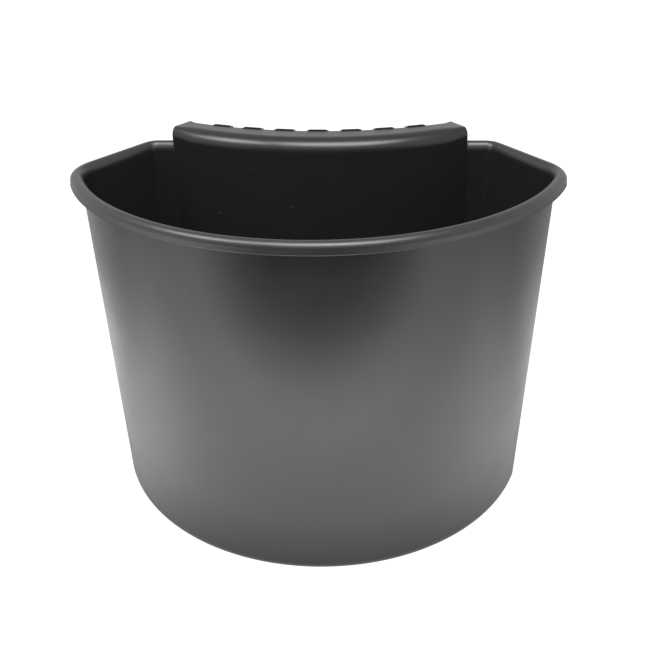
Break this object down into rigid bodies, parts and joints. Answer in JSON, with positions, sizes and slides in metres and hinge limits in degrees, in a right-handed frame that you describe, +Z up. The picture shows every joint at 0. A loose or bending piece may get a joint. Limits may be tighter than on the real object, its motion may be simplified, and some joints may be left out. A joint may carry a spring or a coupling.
{
  "type": "feed bucket",
  "caption": "D-shaped hook-over feed bucket with a round front, rolled rim, forward-curved back wall and a broad ribbed hook that turns down behind it.",
  "frame": {"origin": "on the ground, below the middle of the bucket's box", "axes": "+X to the right across the width, +Y to the back where the hook is, +Z up"},
  "size_m": [0.4002, 0.2438, 0.3231],
  "materials": {
    "tub": "satin charcoal, lightly scuffed",
    "rim": "satin charcoal with a fine parting line",
    "hook": "satin charcoal"
  },
  "bodies": {
    "root": {"base": "tub", "front_wall": "tub", "side_corner_left": "tub", "side_corner_right": "tub", "side_panel_left": "tub", "side_panel_right": "tub", "back_corner_left": "tub", "back_corner_right": "tub", "back_panel": "tub", "rim_front": "rim", "rim_corner_left": "rim", "rim_corner_right": "rim", "rim_side_left": "rim", "rim_side_right": "rim", "rim_back_left": "rim", "rim_back_right": "rim", "hook_fold": "hook", "hook_top": "hook", "hook_lip": "hook", "hook_ribs": "hook"}
  },
  "joints": []
}
